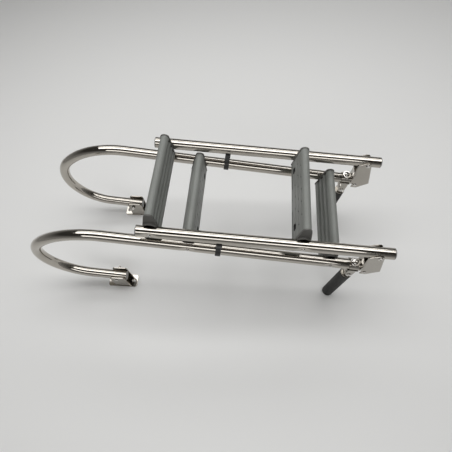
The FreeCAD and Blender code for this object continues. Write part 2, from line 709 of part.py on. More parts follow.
print("slope", round(math.degrees(rest_slope), 3), "droop", round(math.degrees(fold_droop), 3))
print("bend radius", round(bend_radius, 2), "shoulder angle", round(math.degrees(shoulder_angle), 2))
print("size", round(whole.XLength, 2), round(whole.YLength, 2), round(whole.ZLength, 2))
print("fold pivot", floor_point(pivot))
print("bracket pin", floor_point(pin_point, half_spacing))
print("leg pivot", floor_point(leg_pivot, half_spacing))
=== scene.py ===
# %% [markdown]
# Folding swim ladder, dressed in cells.
# The ladder is a polished tube frame with grey moulded steps, lying folded on a floor. The packed
# model gives every rigid form at its real size. This script adds what a maker's finish adds: tubes
# smooth enough to mirror the room, rounded edges, real screw and bolt heads, materials and light.
# All lengths are in metres, in the same frame as the model.

# %% Load the frame
import json
import math

import bmesh
import bpy
from mathutils import Matrix, Vector


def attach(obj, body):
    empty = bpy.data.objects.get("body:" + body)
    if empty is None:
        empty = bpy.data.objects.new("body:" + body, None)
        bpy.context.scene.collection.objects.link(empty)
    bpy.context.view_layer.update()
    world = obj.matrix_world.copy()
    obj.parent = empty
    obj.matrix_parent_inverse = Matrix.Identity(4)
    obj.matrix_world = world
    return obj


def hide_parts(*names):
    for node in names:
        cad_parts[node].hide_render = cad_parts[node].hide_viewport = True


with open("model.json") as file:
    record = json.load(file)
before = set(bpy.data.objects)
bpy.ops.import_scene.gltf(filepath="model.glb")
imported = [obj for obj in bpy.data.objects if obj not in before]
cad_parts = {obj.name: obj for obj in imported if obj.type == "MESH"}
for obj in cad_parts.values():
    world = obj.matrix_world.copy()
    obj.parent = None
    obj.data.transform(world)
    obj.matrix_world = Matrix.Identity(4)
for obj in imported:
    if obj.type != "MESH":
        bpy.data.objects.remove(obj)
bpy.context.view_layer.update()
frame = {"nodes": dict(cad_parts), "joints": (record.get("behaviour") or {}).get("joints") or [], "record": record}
nodes = frame["nodes"]
joint_places = {joint["name"]: Vector(joint["pos_m"]) for joint in frame["joints"]}
bodies = frame["record"]["behaviour"]["bodies"]
body_of_node = {node: body for body, members in bodies.items() for node in members}

# %% [markdown]
# The ladder leans: its bent arms stand on brackets and its hinge end stands on two rubber feet, so
# the straight rails slope. A maker measures along the rails, and so does this script. It draws each
# new piece in the ladder's own frame, with X along the hook rails towards the hinge and Z across
# them, and turns it into place at the end. Two joints of the model fix that turn, so nothing is
# fitted by eye. The fold section droops a little more, until it rests on its clips.

# %% The ladder's own frame
HINGE_IN_LADDER = Vector((0.596, 0.0, 0.075))
PIN_IN_LADDER = Vector((-0.009, 0.0, -0.255))
CLIP_FROM_HINGE = 0.337
CLIP_SEAT_HEIGHT = 0.0574
SIDES = {"left": -1, "right": 1}

hinge_place = joint_places["fold_hinge"]
pin_place = joint_places["deck_bracket_pivot_right"]
half_spacing = pin_place.y


def angle_of(vector):
    """Angle of a vector above the X axis, seen along Y."""
    return math.atan2(vector.z, vector.x)


slope = angle_of(HINGE_IN_LADDER - PIN_IN_LADDER) - angle_of(hinge_place - pin_place)
droop = math.asin((HINGE_IN_LADDER.z - CLIP_SEAT_HEIGHT) / CLIP_FROM_HINGE)
to_hinge = Matrix.Translation(HINGE_IN_LADDER)
LADDER = Matrix.Translation(hinge_place) @ Matrix.Rotation(slope, 4, "Y") @ to_hinge.inverted()
FOLDED = LADDER @ to_hinge @ Matrix.Rotation(-droop, 4, "Y") @ to_hinge.inverted()
print("slope", round(math.degrees(slope), 3), "droop", round(math.degrees(droop), 3))

# %% [markdown]
# The camera comes first, because every choice of detail depends on what it sees. It stands above
# and in front of the near rail and looks steeply down, slightly rolled, as a hand-held camera is.
# Its place is measured from the hinge, so it follows the model if the model's origin moves.

# %% Camera
CAMERA_FROM_HINGE = Vector((-0.24794, -0.4452, 0.70693))
CAMERA_PAN = math.radians(-12.31)
CAMERA_TILT = math.radians(61.50)
CAMERA_ROLL = math.radians(-8.79)
CAMERA_LENS = 28.25
SENSOR = 36.0
NEAREST_SEEN = 0.01


def add_camera():
    """A camera from pan (towards +X), tilt (below level) and roll about its own line of sight."""
    forward = Vector((math.sin(CAMERA_PAN) * math.cos(CAMERA_TILT),
                      math.cos(CAMERA_PAN) * math.cos(CAMERA_TILT), -math.sin(CAMERA_TILT)))
    level = Vector((math.cos(CAMERA_PAN), -math.sin(CAMERA_PAN), 0))
    upright = level.cross(forward)
    right = level * math.cos(CAMERA_ROLL) + upright * math.sin(CAMERA_ROLL)
    up = upright * math.cos(CAMERA_ROLL) - level * math.sin(CAMERA_ROLL)
    turn = Matrix((right, up, -forward)).transposed().to_4x4()
    data = bpy.data.cameras.new("camera")
    data.lens = CAMERA_LENS
    data.sensor_width = SENSOR
    data.clip_start = NEAREST_SEEN
    made = bpy.data.objects.new("camera", data)
    bpy.context.scene.collection.objects.link(made)
    made.matrix_world = Matrix.Translation(hinge_place + CAMERA_FROM_HINGE) @ turn
    bpy.context.scene.camera = made
    return made


camera = add_camera()
print("camera", [round(v, 3) for v in camera.matrix_world.translation])

# %% [markdown]
# Polished metal shows its surroundings, so the studio decides how the tubes look. The room is dark
# overhead, so that much of the metal stays dark and bright lines read as lines. It could be one even
# grey, but then every tube would look like a grey rod.

# %% Studio: room
ROOM_LOW = (0.30, 0.30, 0.295, 1)
ROOM_HIGH = (0.045, 0.043, 0.040, 1)
ROOM_TURN = 0.5


def add_room():
    """A world that is dark overhead and lighter towards the horizon."""
    world = bpy.data.worlds.new("room")
    bpy.context.scene.world = world
    world.use_nodes = True
    tree = world.node_tree
    tree.nodes.clear()
    place = tree.nodes.new("ShaderNodeTexCoord")
    split = tree.nodes.new("ShaderNodeSeparateXYZ")
    ramp = tree.nodes.new("ShaderNodeValToRGB")
    back = tree.nodes.new("ShaderNodeBackground")
    out = tree.nodes.new("ShaderNodeOutputWorld")
    low, high = ramp.color_ramp.elements
    low.position = 0.0
    low.color = ROOM_LOW
    high.position = ROOM_TURN
    high.color = ROOM_HIGH
    tree.links.new(place.outputs["Generated"], split.inputs[0])
    tree.links.new(split.outputs["Z"], ramp.inputs[0])
    tree.links.new(ramp.outputs[0], back.inputs["Color"])
    tree.links.new(back.outputs[0], out.inputs[0])


add_room()
bpy.context.scene.view_settings.view_transform = "Standard"
print("room", bpy.context.scene.world.name)

# %% [markdown]
# Three long lamps run along the ladder and draw the long bright lines on the tubes. They could be
# glowing planes, but area lamps give the same picture with less noise. A narrow lamp makes a hard,
# ragged line on a tube of many flat facets, so these are broad.

# %% Studio: lamps
LAMP_AIM = Vector((0.0, 0.0, 0.1))
STRIPS = {"key_strip": {"place": (0.0, 0.25, 1.9), "length": 3.0, "width": 0.80, "watts": 27},
          "back_strip": {"place": (0.0, 1.15, 1.6), "length": 3.0, "width": 0.40, "watts": 11},
          "front_fill": {"place": (0.0, -1.6, 1.5), "length": 2.6, "width": 0.70, "watts": 12}}


def add_strip(name, place, length, width, watts):
    """A long soft lamp that lies along X and faces the ladder."""
    data = bpy.data.lights.new(name, "AREA")
    data.shape = "RECTANGLE"
    data.size = length
    data.size_y = width
    data.energy = watts
    lamp = bpy.data.objects.new(name, data)
    bpy.context.scene.collection.objects.link(lamp)
    toward = (LAMP_AIM - Vector(place)).normalized()
    side = toward.cross(Vector((1, 0, 0))).normalized()
    along = side.cross(toward).normalized()
    turn = Matrix((along, -side, -toward)).transposed().to_4x4()
    lamp.matrix_world = Matrix.Translation(Vector(place)) @ turn


for name, strip in STRIPS.items():
    add_strip(name, **strip)
print("lamps", sorted(STRIPS))

# %% [markdown]
# The floor is pale and plain. The lamps light only the middle of it, and a wide floor would show a
# dark band far away in a low view. So it is a round disc that ends before its light has faded.

# %% Studio: floor
FLOOR_RADIUS = 2.3
FLOOR_POINTS = 96

bpy.ops.object.select_all(action="DESELECT")
bpy.ops.mesh.primitive_circle_add(vertices=FLOOR_POINTS, radius=FLOOR_RADIUS, fill_type="NGON")
floor = bpy.context.object
floor.name = "studio_floor"
print("floor", floor.name, 2 * FLOOR_RADIUS, "m wide")

# %% [markdown]
# A finish is more than a colour. An effect that several finishes share is one node group, made once
# and placed in each material with its own values. Each group here maps a noise to a range, and may end
# in a bump, so those three steps are helpers.

# %% Node groups: helpers
def new_group(name, inputs, outputs):
    """An empty shader node group with float inputs {name: default} and outputs {name: socket type}."""
    group = bpy.data.node_groups.new(name, "ShaderNodeTree")
    for label, value in inputs.items():
        socket = group.interface.new_socket(name=label, in_out="INPUT", socket_type="NodeSocketFloat")
        socket.default_value = value
    for label, kind in outputs.items():
        group.interface.new_socket(name=label, in_out="OUTPUT", socket_type=kind)
    return group, group.nodes.new("NodeGroupInput"), group.nodes.new("NodeGroupOutput")


def add_noise(group, coordinates, scale, detail, roughness):
    """A noise on the given coordinates; scale is a number or a socket."""
    noise = group.nodes.new("ShaderNodeTexNoise")
    noise.inputs["Detail"].default_value = detail
    noise.inputs["Roughness"].default_value = roughness
    if isinstance(scale, (int, float)):
        noise.inputs["Scale"].default_value = scale
    else:
        group.links.new(scale, noise.inputs["Scale"])
    group.links.new(coordinates, noise.inputs["Vector"])
    return noise


def add_range(group, value, span, to_low, to_high):
    """Map Range from a span (low, high) to to_low..to_high; each of those is a number or a socket."""
    node = group.nodes.new("ShaderNodeMapRange")
    group.links.new(value, node.inputs["Value"])
    node.inputs["From Min"].default_value, node.inputs["From Max"].default_value = span
    for label, end in {"To Min": to_low, "To Max": to_high}.items():
        if isinstance(end, (int, float)):
            node.inputs[label].default_value = end
        else:
            group.links.new(end, node.inputs[label])
    return node


def add_bump(group, height, strength, distance):
    """A bump from a height; strength is a socket and distance a length."""
    bump = group.nodes.new("ShaderNodeBump")
    bump.inputs["Distance"].default_value = distance
    group.links.new(strength, bump.inputs["Strength"])
    group.links.new(height, bump.inputs["Height"])
    return bump


print("node groups so far", len(bpy.data.node_groups))

# %% [markdown]
# The first group is the faint haze that hands and polishing leave on bright metal: broad clouds make
# some stretches a little duller, and fine lines run along the tube. Lines that are much longer than
# wide come from a noise that is squeezed across the ladder, and turned to run with its slope.

# %% Node groups: polish
HAZE_SPAN = (0.42, 0.72)
TINT_SPAN = (0.3, 0.8)
DULLEST_TINT = 0.9
LINE_SQUEEZE = (12, 1400, 1400)
LINE_HEIGHT = 0.0002


def make_polish_group():
    """Haze and fine lengthwise lines of polished metal."""
    group, given, result = new_group(
        "polish_haze",
        {"Clean": 0.06, "Hazy": 0.2, "Cloud Scale": 14.0, "Line Depth": 0.05},
        {"Roughness": "NodeSocketFloat", "Tint": "NodeSocketFloat", "Normal": "NodeSocketVector"})
    place = group.nodes.new("ShaderNodeTexCoord")
    clouds = add_noise(group, place.outputs["Object"], given.outputs["Cloud Scale"],
                       detail=5.0, roughness=0.6)
    haze = add_range(group, clouds.outputs["Fac"], HAZE_SPAN, given.outputs["Clean"], given.outputs["Hazy"])
    group.links.new(haze.outputs["Result"], result.inputs["Roughness"])
    tint = add_range(group, clouds.outputs["Fac"], TINT_SPAN, 1.0, DULLEST_TINT)
    group.links.new(tint.outputs["Result"], result.inputs["Tint"])
    stretch = group.nodes.new("ShaderNodeMapping")
    stretch.inputs["Rotation"].default_value = (0, -slope, 0)
    stretch.inputs["Scale"].default_value = LINE_SQUEEZE
    group.links.new(place.outputs["Object"], stretch.inputs["Vector"])
    lines = add_noise(group, stretch.outputs["Vector"], 1.0, detail=2.0, roughness=0.5)
    bump = add_bump(group, lines.outputs["Fac"], given.outputs["Line Depth"], LINE_HEIGHT)
    group.links.new(bump.outputs["Normal"], result.inputs["Normal"])
    return group


polish_haze = make_polish_group()
print("group", polish_haze.name, len(polish_haze.nodes), "nodes")

# %% [markdown]
# Moulded plastic and rubber have a fine spark-eroded grain from the mould, and slow changes of shade
# where the melt cooled unevenly. Both follow from noise: a fine one for the grain, as a bump, and a
# broad one for the shade and the gloss.

# %% Node groups: moulding
SHADE_SPAN = (0.35, 0.65)
GRAIN_HEIGHT = 0.0003


def make_grain_group():
    """Grain, shade and gloss of a moulded surface."""
    group, given, result = new_group(
        "moulded_grain",
        {"Grain Scale": 1800.0, "Grain Depth": 0.3, "Shade Scale": 16.0, "Shade": 0.08,
         "Satin": 0.42, "Matt": 0.55},
        {"Shade": "NodeSocketFloat", "Roughness": "NodeSocketFloat", "Normal": "NodeSocketVector"})
    place = group.nodes.new("ShaderNodeTexCoord")
    grain = add_noise(group, place.outputs["Object"], given.outputs["Grain Scale"],
                      detail=3.0, roughness=0.6)
    broad = add_noise(group, place.outputs["Object"], given.outputs["Shade Scale"],
                      detail=4.0, roughness=0.55)
    darker = group.nodes.new("ShaderNodeMath")
    darker.operation = "SUBTRACT"
    darker.inputs[0].default_value = 1.0
    group.links.new(given.outputs["Shade"], darker.inputs[1])
    shade = add_range(group, broad.outputs["Fac"], SHADE_SPAN, 1.0, darker.outputs[0])
    group.links.new(shade.outputs["Result"], result.inputs["Shade"])
    gloss = add_range(group, broad.outputs["Fac"], SHADE_SPAN, given.outputs["Satin"], given.outputs["Matt"])
    group.links.new(gloss.outputs["Result"], result.inputs["Roughness"])
    bump = add_bump(group, grain.outputs["Fac"], given.outputs["Grain Depth"], GRAIN_HEIGHT)
    group.links.new(bump.outputs["Normal"], result.inputs["Normal"])
    return group


moulded_grain = make_grain_group()
print("group", moulded_grain.name, len(moulded_grain.nodes), "nodes")

# %% [markdown]
# Dust settles on what faces up. This group reads the surface's normal and lets dust show only there,
# broken up by another noise. It puts out a mask, and each material decides what colour lies under it.

# %% Node groups: dust
UPWARD_SPAN = (0.2, 0.95)
SPECK_SPAN = (0.5, 0.72)


def multiply(group, first, second):
    """The product of two sockets."""
    node = group.nodes.new("ShaderNodeMath")
    node.operation = "MULTIPLY"
    group.links.new(first, node.inputs[0])
    group.links.new(second, node.inputs[1])
    return node.outputs[0]


def make_dust_group():
    """Mask of the thin dust on faces that look up."""
    group, given, result = new_group("settled_dust", {"Amount": 0.15, "Speck Scale": 260.0},
                                     {"Mask": "NodeSocketFloat"})
    place = group.nodes.new("ShaderNodeTexCoord")
    shape = group.nodes.new("ShaderNodeNewGeometry")
    split = group.nodes.new("ShaderNodeSeparateXYZ")
    group.links.new(shape.outputs["Normal"], split.inputs[0])
    upward = add_range(group, split.outputs["Z"], UPWARD_SPAN, 0.0, 1.0)
    specks = add_noise(group, place.outputs["Object"], given.outputs["Speck Scale"],
                       detail=6.0, roughness=0.7)
    broken = add_range(group, specks.outputs["Fac"], SPECK_SPAN, 0.0, 1.0)
    settled = multiply(group, upward.outputs["Result"], broken.outputs["Result"])
    group.links.new(multiply(group, settled, given.outputs["Amount"]), result.inputs["Mask"])
    return group


settled_dust = make_dust_group()
print("group", settled_dust.name, len(settled_dust.nodes), "nodes")

# %% [markdown]
# A material has one Principled shader. The colour could be written straight on it, but then a whole
# step would be one even grey, so the colour is multiplied by a shade that changes over the surface.

# %% Finishes: helpers
DUST_COLOUR = (0.55, 0.54, 0.52, 1)


def new_material(name, metallic):
    """A material with one Principled shader, and its tree to add patterns to."""
    made = bpy.data.materials.new(name)
    made.use_nodes = True
    shader = made.node_tree.nodes["Principled BSDF"]
    shader.inputs["Metallic"].default_value = metallic
    return made, made.node_tree, shader


def place_group(tree, group, values):
    """One use of a node group in a material, with its own values."""
    node = tree.nodes.new("ShaderNodeGroup")
    node.node_tree = group
    for label, value in values.items():
        node.inputs[label].default_value = value
    return node


def shaded_colour(tree, colour, shade):
    """The colour times a shade that changes over the surface."""
    mix = tree.nodes.new("ShaderNodeMix")
    mix.data_type = "RGBA"
    mix.blend_type = "MULTIPLY"
    mix.inputs["Factor"].default_value = 1.0
    mix.inputs["A"].default_value = colour
    tree.links.new(shade, mix.inputs["B"])
    return mix.outputs["Result"]


def metal(name, colour, polish):
    """Polished or brushed metal."""
    made, tree, shader = new_material(name, 1.0)
    haze = place_group(tree, polish_haze, polish)
    tree.links.new(shaded_colour(tree, colour, haze.outputs["Tint"]), shader.inputs["Base Color"])
    tree.links.new(haze.outputs["Roughness"], shader.inputs["Roughness"])
    tree.links.new(haze.outputs["Normal"], shader.inputs["Normal"])
    return made


def moulding(name, colour, dust, grain):
    """Moulded plastic or rubber with a little dust on what faces up."""
    made, tree, shader = new_material(name, 0.0)
    skin = place_group(tree, moulded_grain, grain)
    settled = place_group(tree, settled_dust, {"Amount": dust})
    dusted = tree.nodes.new("ShaderNodeMix")
    dusted.data_type = "RGBA"
    tree.links.new(settled.outputs["Mask"], dusted.inputs["Factor"])
    tree.links.new(shaded_colour(tree, colour, skin.outputs["Shade"]), dusted.inputs["A"])
    dusted.inputs["B"].default_value = DUST_COLOUR
    tree.links.new(dusted.outputs["Result"], shader.inputs["Base Color"])
    tree.links.new(skin.outputs["Roughness"], shader.inputs["Roughness"])
    tree.links.new(skin.outputs["Normal"], shader.inputs["Normal"])
    return made


print("dust colour", DUST_COLOUR[:3])

# %% [markdown]
# Now the finishes themselves. The rails are mirror-polished stainless tube, the hinge plates and
# brackets are polished sheet with a softer shine, and the bolts are machined. The steps are a grey
# satin moulding, their end caps a darker warm grey, the clips black and the feet soft rubber. The
# drain holes open into hollow mouldings, so their insides get a nearly black painted shade with no dust.

# %% Finishes: metal, plastic and rubber
LIGHT_DUST = 0.06
FOOT_DUST = 0.03
PLUG_DUST = 0.08
FLOOR_COLOUR = (0.78, 0.78, 0.77, 1)
FLOOR_ROUGHNESS = 0.85

mirror_tube = metal("mirror_tube", (0.49, 0.46, 0.415, 1),
                    {"Clean": 0.07, "Hazy": 0.13, "Line Depth": 0.012})
sheet_steel = metal("sheet_steel", (0.44, 0.415, 0.375, 1),
                    {"Clean": 0.14, "Hazy": 0.26, "Line Depth": 0.08})
bolt_steel = metal("bolt_steel", (0.70, 0.68, 0.65, 1),
                   {"Clean": 0.12, "Hazy": 0.22, "Cloud Scale": 60.0})
step_grey = moulding("step_grey", (0.192, 0.200, 0.186, 1), LIGHT_DUST, {})
cap_grey = moulding("cap_grey", (0.090, 0.088, 0.081, 1), LIGHT_DUST, {"Grain Depth": 0.4})
clip_black = moulding("clip_black", (0.020, 0.020, 0.021, 1), LIGHT_DUST, {"Satin": 0.35, "Matt": 0.45})
foot_black = moulding("foot_black", (0.016, 0.016, 0.014, 1), FOOT_DUST, {"Satin": 0.6, "Matt": 0.75})
plug_grey = moulding("plug_grey", (0.20, 0.20, 0.19, 1), PLUG_DUST, {})
# Painted shade: the inside of each drain hole and window is coloured near black, for the shade of the hollow step
# behind it.
hole_painted_shade = moulding("hole_painted_shade", (0.022, 0.022, 0.021, 1), 0.0, {})

floor_finish, _, floor_shader = new_material("floor_finish", 0.0)
floor_shader.inputs["Base Color"].default_value = FLOOR_COLOUR
floor_shader.inputs["Roughness"].default_value = FLOOR_ROUGHNESS
floor.data.materials.append(floor_finish)
print("materials", sorted(material.name for material in bpy.data.materials))

# %% [markdown]
# Each node's name says what it is, so its name also picks its finish. Every finish belongs to one
# material slot of the record, so the two are kept side by side.

# %% Finishes: which piece gets which
def finish_of(name):
    """The finish of a node and its slot in the record, by the node's name."""
    if "_cap_left" in name or "_cap_right" in name:
        return cap_grey, "cap_plastic"
    if name.startswith(("hook_step_", "fold_step_")) and "screws" not in name:
        return step_grey, "step_plastic"
    if name.startswith("rail_clip"):
        return clip_black, "clip_plastic"
    if name.startswith("standoff_foot"):
        return foot_black, "foot_rubber"
    if "_plug" in name:
        return plug_grey, "plug_plastic"
    if "bolt" in name or "pin" in name or "screws" in name:
        return bolt_steel, "polished_stainless"
    if "rail" in name:
        return mirror_tube, "polished_stainless"
    return sheet_steel, "polished_stainless"


for name, piece in nodes.items():
    piece.data.materials.clear()
    piece.data.materials.append(finish_of(name)[0])
print("finishes", sorted({finish_of(name)[0].name for name in nodes}))

# %% [markdown]
# A mirror shows every facet, so each rail is drawn again as one smooth tube. The hook is two arcs: a
# wide shoulder and a tighter bend that meet in line. The bend's radius follows from how far the hook
# reaches back and how far it drops, so it is worked out and not measured.

# %% Rails: sizes
TUBE_RADIUS = 0.0127
TUBE_WALL = 0.0015
HOOK_END = 0.608
HOOK_REACH = 0.190
HOOK_DROP = 0.255
SHOULDER_RADIUS = 0.215
ARM_END = 0.016
HOOK_SCREWS = (0.516, 0.191)
FOLD_SCREWS = (0.434, 0.109)
FOLD_START = 0.625
FOLD_END = 0.082

bend_sum = 2 * SHOULDER_RADIUS - HOOK_DROP - HOOK_REACH
bend_rest = HOOK_REACH ** 2 + HOOK_DROP ** 2 - 2 * SHOULDER_RADIUS * HOOK_DROP
bend_radius = -bend_sum + math.sqrt(bend_sum ** 2 - bend_rest)
shoulder_angle = math.asin((HOOK_REACH - bend_radius) / (SHOULDER_RADIUS - bend_radius))
shoulder_centre = Vector((0, 0, -SHOULDER_RADIUS))
bend_centre = Vector((bend_radius - HOOK_REACH, 0, bend_radius - HOOK_DROP))
print("bend radius", round(bend_radius, 4), "shoulder", round(math.degrees(shoulder_angle), 2), "degrees")

# %% [markdown]
# A curve with a round bevel would make the bends, but not the flats that a press leaves where a
# screw goes in. So the tube is made as a pipe fitter makes it: a ring is pushed along the straight
# run and spun round each bend. Rings lie close together only where the shape changes.

# %% Rails: pushing and spinning a ring
RING_POINTS = 96
PRESSING_LENGTH = 0.035
PRESSING_BLEND = 0.0016
PRESSING_SPAN = PRESSING_LENGTH + 6 * PRESSING_BLEND
PRESSING_RINGS = 36
BEND_STEP = math.radians(2.5)


def start_ring(name, place):
    """A ring of edges across the tube, in edit mode with all of it selected."""
    bpy.ops.object.select_all(action="DESELECT")
    bpy.ops.mesh.primitive_circle_add(vertices=RING_POINTS, radius=TUBE_RADIUS, fill_type="NOTHING")
    ring = bpy.context.object
    ring.name = name
    ring.data.transform(Matrix.Translation(place) @ Matrix.Rotation(math.pi / 2, 4, "Y"))
    bpy.ops.object.mode_set(mode="EDIT")
    bpy.ops.mesh.select_all(action="SELECT")
    return ring


def push_ring(length):
    """Extrude the selected ring straight towards -X, or +X for a negative length."""
    bpy.ops.mesh.extrude_edges_move(TRANSFORM_OT_translate={"value": (-length, 0, 0)})


def push_past_screws(start, end, screws):
    """Extrude the ring from one X to a lower one, with close rings at each pressing."""
    place = start
    for screw in screws:
        push_ring(place - screw - PRESSING_SPAN / 2)
        for _ in range(PRESSING_RINGS):
            push_ring(PRESSING_SPAN / PRESSING_RINGS)
        place = screw - PRESSING_SPAN / 2
    push_ring(place - end)


def spin_ring(centre, angle):
    """Carry the selected ring round a centre, about a line along Y."""
    steps = max(2, round(abs(angle) / BEND_STEP))
    bpy.ops.mesh.spin(steps=steps, angle=angle, center=centre, axis=(0, 1, 0))


print("rings", round(1000 * PRESSING_SPAN / PRESSING_RINGS, 2), "mm apart at a screw")

# %% [markdown]
# A press flattens the tube's outer side at each screw, so that the head has a level seat. The press
# tool is a large upright cylinder, and what stands proud of it moves onto it. Sheet never folds
# sharply, so the tube and the tool's face blend over a short width, by a smooth minimum of the two.

# %% Rails: pressings
PRESSING_DEPTH = 0.003


def press_flats(tube, screws, side):
    """Move the outer side of the straight run onto the press tool's face at each screw."""
    tool_radius = ((PRESSING_LENGTH / 2) ** 2 + PRESSING_DEPTH ** 2) / (2 * PRESSING_DEPTH)
    tool_centre = TUBE_RADIUS - PRESSING_DEPTH + tool_radius
    lowest_run = -HOOK_DROP / 2
    for vertex in tube.data.vertices:
        for screw in screws:
            along = vertex.co.x - screw
            if abs(along) < PRESSING_SPAN / 2 and vertex.co.z > lowest_run:
                limit = tool_centre - math.sqrt(tool_radius ** 2 - along ** 2)
                outward = side * vertex.co.y
                blend = max(PRESSING_BLEND - abs(outward - limit), 0) / PRESSING_BLEND
                vertex.co.y = side * (min(outward, limit) - blend ** 2 * PRESSING_BLEND / 4)


print("pressings", len(SIDES) * (len(HOOK_SCREWS) + len(FOLD_SCREWS)))

# %% [markdown]
# The ring's path is only the tube's outer face. Solidify gives the wall its real thickness, inwards.
# It could also be drawn as a second tube inside the first, but the wall would then have to be
# bridged at both ends. These helpers finish any piece, so the later steps use them too.

# %% Rails: finishing helpers
SMOOTH_ANGLE = math.radians(32)
SHELL_MERGE = 1e-6


def select_only(piece):
    """Select one piece and make it the active one."""
    bpy.ops.object.select_all(action="DESELECT")
    piece.select_set(True)
    bpy.context.view_layer.objects.active = piece


def apply_modifiers(piece):
    """Turn the piece's modifiers into its mesh."""
    select_only(piece)
    for modifier in list(piece.modifiers):
        bpy.ops.object.modifier_apply(modifier=modifier.name)


def tidy_shell(piece):
    """Merge doubles and turn every face outwards."""
    select_only(piece)
    bpy.ops.object.mode_set(mode="EDIT")
    bpy.ops.mesh.select_all(action="SELECT")
    bpy.ops.mesh.remove_doubles(threshold=SHELL_MERGE)
    bpy.ops.mesh.normals_make_consistent(inside=False)
    bpy.ops.object.mode_set(mode="OBJECT")


def smooth_gentle_turns(piece):
    """Smooth shading over gentle turns, sharp over steep ones."""
    select_only(piece)
    bpy.ops.object.shade_smooth_by_angle(angle=SMOOTH_ANGLE)


def stand_for(piece, node):
    """Hand a finished piece over: its body, and the node it stands for."""
    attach(piece, body_of_node[node])
    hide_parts(node)


def give_finish(piece, node):
    """Give a piece the finish of a node, and no other."""
    piece.data.materials.clear()
    piece.data.materials.append(finish_of(node)[0])


print("smooth up to", round(math.degrees(SMOOTH_ANGLE)), "degrees")

# %% [markdown]
# Each rail is now a short list of moves. The left and right rails are mirror images, because the
# pressings lie on their outer sides, so each is drawn by itself and not copied.

# %% Rails: the four tubes
def finish_tube(tube, place, side, node):
    """Wall, shading and place of a rail that has its outer shape."""
    tidy_shell(tube)
    wall = tube.modifiers.new("wall", "SOLIDIFY")
    wall.thickness = TUBE_WALL
    wall.offset = -1
    apply_modifiers(tube)
    tube.data.transform(place @ Matrix.Translation((0, side * half_spacing, 0)))
    smooth_gentle_turns(tube)
    give_finish(tube, node)
    stand_for(tube, node)


def hook_rail(side_name, side):
    """Straight run, shoulder, bend and arm of one hook rail."""
    tube = start_ring("hook_tube_" + side_name, Vector((HOOK_END, 0, 0)))
    push_past_screws(HOOK_END, 0.0, HOOK_SCREWS)
    spin_ring(shoulder_centre, shoulder_angle)
    spin_ring(bend_centre, math.pi - shoulder_angle)
    push_ring(bend_centre.x - ARM_END)
    bpy.ops.object.mode_set(mode="OBJECT")
    press_flats(tube, HOOK_SCREWS, side)
    finish_tube(tube, LADDER, side, "hook_rail_" + side_name)
    return tube


def fold_rail(side_name, side):
    """One straight rail of the fold section."""
    tube = start_ring("fold_tube_" + side_name, Vector((FOLD_START, 0, HINGE_IN_LADDER.z)))
    push_past_screws(FOLD_START, FOLD_END, FOLD_SCREWS)
    bpy.ops.object.mode_set(mode="OBJECT")
    press_flats(tube, FOLD_SCREWS, side)
    finish_tube(tube, FOLDED, side, "fold_rail_" + side_name)
    return tube


for side_name, side in SIDES.items():
    for tube in (hook_rail(side_name, side), fold_rail(side_name, side)):
        print(tube.name, len(tube.data.polygons), "faces")

# %% [markdown]
# The other pieces keep the model's exact forms, but no moulding or pressed plate has a knife edge. A
# copy of each is made whole first: doubles merged, and the triangles of each flat face dissolved,
# because a bevel follows every edge it finds. Drawing these pieces again would also give clean
# faces, but it would only repeat shapes that the model already has.

# %% Softened pieces: a whole copy
FLAT_ENOUGH = math.radians(0.6)
COPY_MERGE = 2e-6


def whole_copy(name):
    """A copy of a node with its doubles merged and its flat faces whole."""
    shape = nodes[name].data.copy()
    shape.transform(nodes[name].matrix_world)
    piece = bpy.data.objects.new(name + "_soft", shape)
    bpy.context.scene.collection.objects.link(piece)
    select_only(piece)
    bpy.ops.object.mode_set(mode="EDIT")
    bpy.ops.mesh.select_all(action="SELECT")
    bpy.ops.mesh.remove_doubles(threshold=COPY_MERGE)
    bpy.ops.mesh.dissolve_limited(angle_limit=FLAT_ENOUGH)
    bpy.ops.mesh.normals_make_consistent(inside=False)
    bpy.ops.object.mode_set(mode="OBJECT")
    return piece


print("flat within", round(math.degrees(FLAT_ENOUGH), 1), "degrees")

# %% [markdown]
# The steps' drain holes and windows look black, because the real steps are hollow. The model's steps
# are solid, so each opening has a floor. That floor is found by its area, and it and its wall are
# coloured near black as painted shade. The drain holes are also opened to the width that they have in the
# photograph.

# %% Softened pieces: openings
DRAIN_RADIUS = 0.0015
DRAIN_WIDENING = 1.3
WINDOW_WIDTH = 0.011
WINDOW_STRAIGHT = 0.007
DRAIN_AREA = math.pi * DRAIN_RADIUS ** 2
WINDOW_AREA = WINDOW_STRAIGHT * WINDOW_WIDTH + math.pi * (WINDOW_WIDTH / 2) ** 2
AREA_MATCH = 0.1
FEWEST_CORNERS = 8


def is_floor(face, area):
    """Whether a face is the rounded floor of an opening with this area."""
    return len(face.verts) >= FEWEST_CORNERS and abs(face.calc_area() / area - 1) < AREA_MATCH


def widen(floor_face, vertices):
    """Open a drain hole by moving its wall and floor away from its axis."""
    centre = floor_face.calc_center_median()
    axis = floor_face.normal.copy()
    for vertex in vertices:
        offset = vertex.co - centre
        along = axis * offset.dot(axis)
        vertex.co = centre + along + (offset - along) * DRAIN_WIDENING


def darken_holes(piece):
    """Colour the floor and wall of each drain hole and window with the near-black painted shade, and widen the
    drains.
    """
    shape = bmesh.new()
    shape.from_mesh(piece.data)
    count = 0
    for face in shape.faces:
        is_drain = is_floor(face, DRAIN_AREA)
        if is_drain or is_floor(face, WINDOW_AREA):
            count += 1
            walls = {wall for edge in face.edges for wall in edge.link_faces}
            for wall in walls:
                # Painted shade: the hollow's darkness is put on the opening's wall and floor as colour.
                wall.material_index = 1
            if is_drain:
                widen(face, {vertex for wall in walls for vertex in wall.verts})
    shape.to_mesh(piece.data)
    shape.free()
    return count


print("drain hole", round(2000 * DRAIN_RADIUS * DRAIN_WIDENING, 1), "mm wide")

# %% [markdown]
# A narrow bevel rounds only the real edges, and catches a thin line of light there. It is narrowest
# on the steps, whose drain holes are small. A bevel also tilts the shading of the flat faces beside
# it, so that a plate looks like a pillow. Weighted normals let the large faces rule again.

